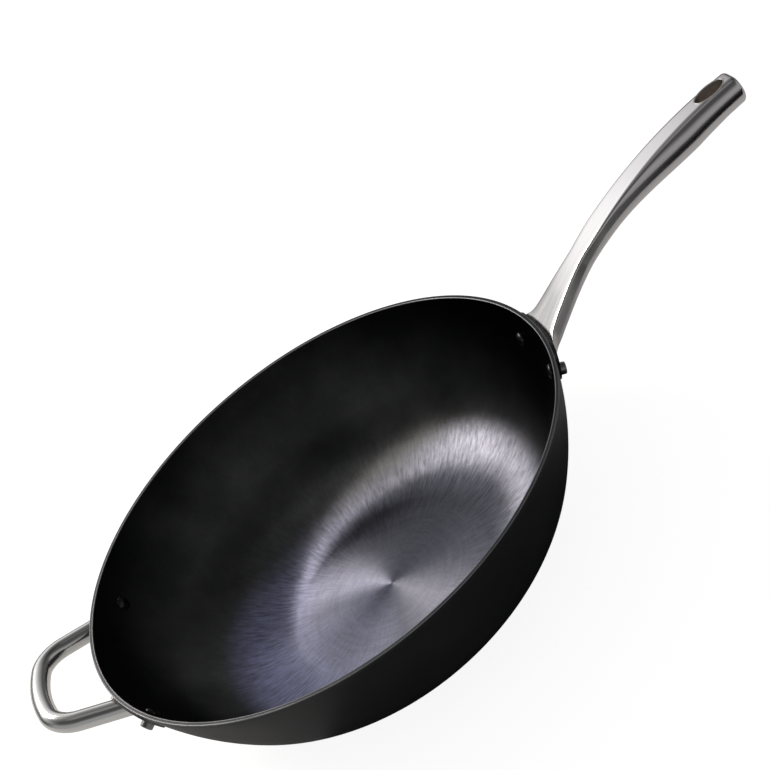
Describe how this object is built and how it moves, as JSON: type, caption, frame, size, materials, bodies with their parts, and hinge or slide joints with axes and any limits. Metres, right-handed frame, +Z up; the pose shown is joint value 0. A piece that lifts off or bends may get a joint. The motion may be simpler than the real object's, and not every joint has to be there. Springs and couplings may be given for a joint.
{
  "type": "wok",
  "caption": "Cast iron wok with a flat base, a long stainless handle with a hanging hole, and a riveted helper loop opposite.",
  "frame": {"origin": "centre of the flat underside of the bowl", "axes": "+Z up, +X from the bowl towards the tip of the long handle, +Y across"},
  "size_m": [0.532, 0.3198, 0.1443],
  "materials": {
    "seasoned_cast_iron": "seasoned, matt outside, turned inside",
    "polished_steel": "polished stainless steel",
    "polished_bar_steel": "polished stainless steel",
    "satin_sheet_steel": "satin stainless steel",
    "rivet_steel": "satin stainless steel",
    "liner_steel": "satin stainless steel"
  },
  "bodies": {
    "root": {"wok_bowl": "seasoned_cast_iron", "handle_bracket": "satin_sheet_steel", "long_handle": "polished_steel", "hang_hole_liner": "liner_steel", "long_handle_rivet_left": "rivet_steel", "long_handle_rivet_right": "rivet_steel", "helper_ear_left": "satin_sheet_steel", "helper_ear_right": "satin_sheet_steel", "helper_loop": "polished_bar_steel", "helper_rivet_left": "rivet_steel", "helper_rivet_right": "rivet_steel"}
  },
  "joints": []
}
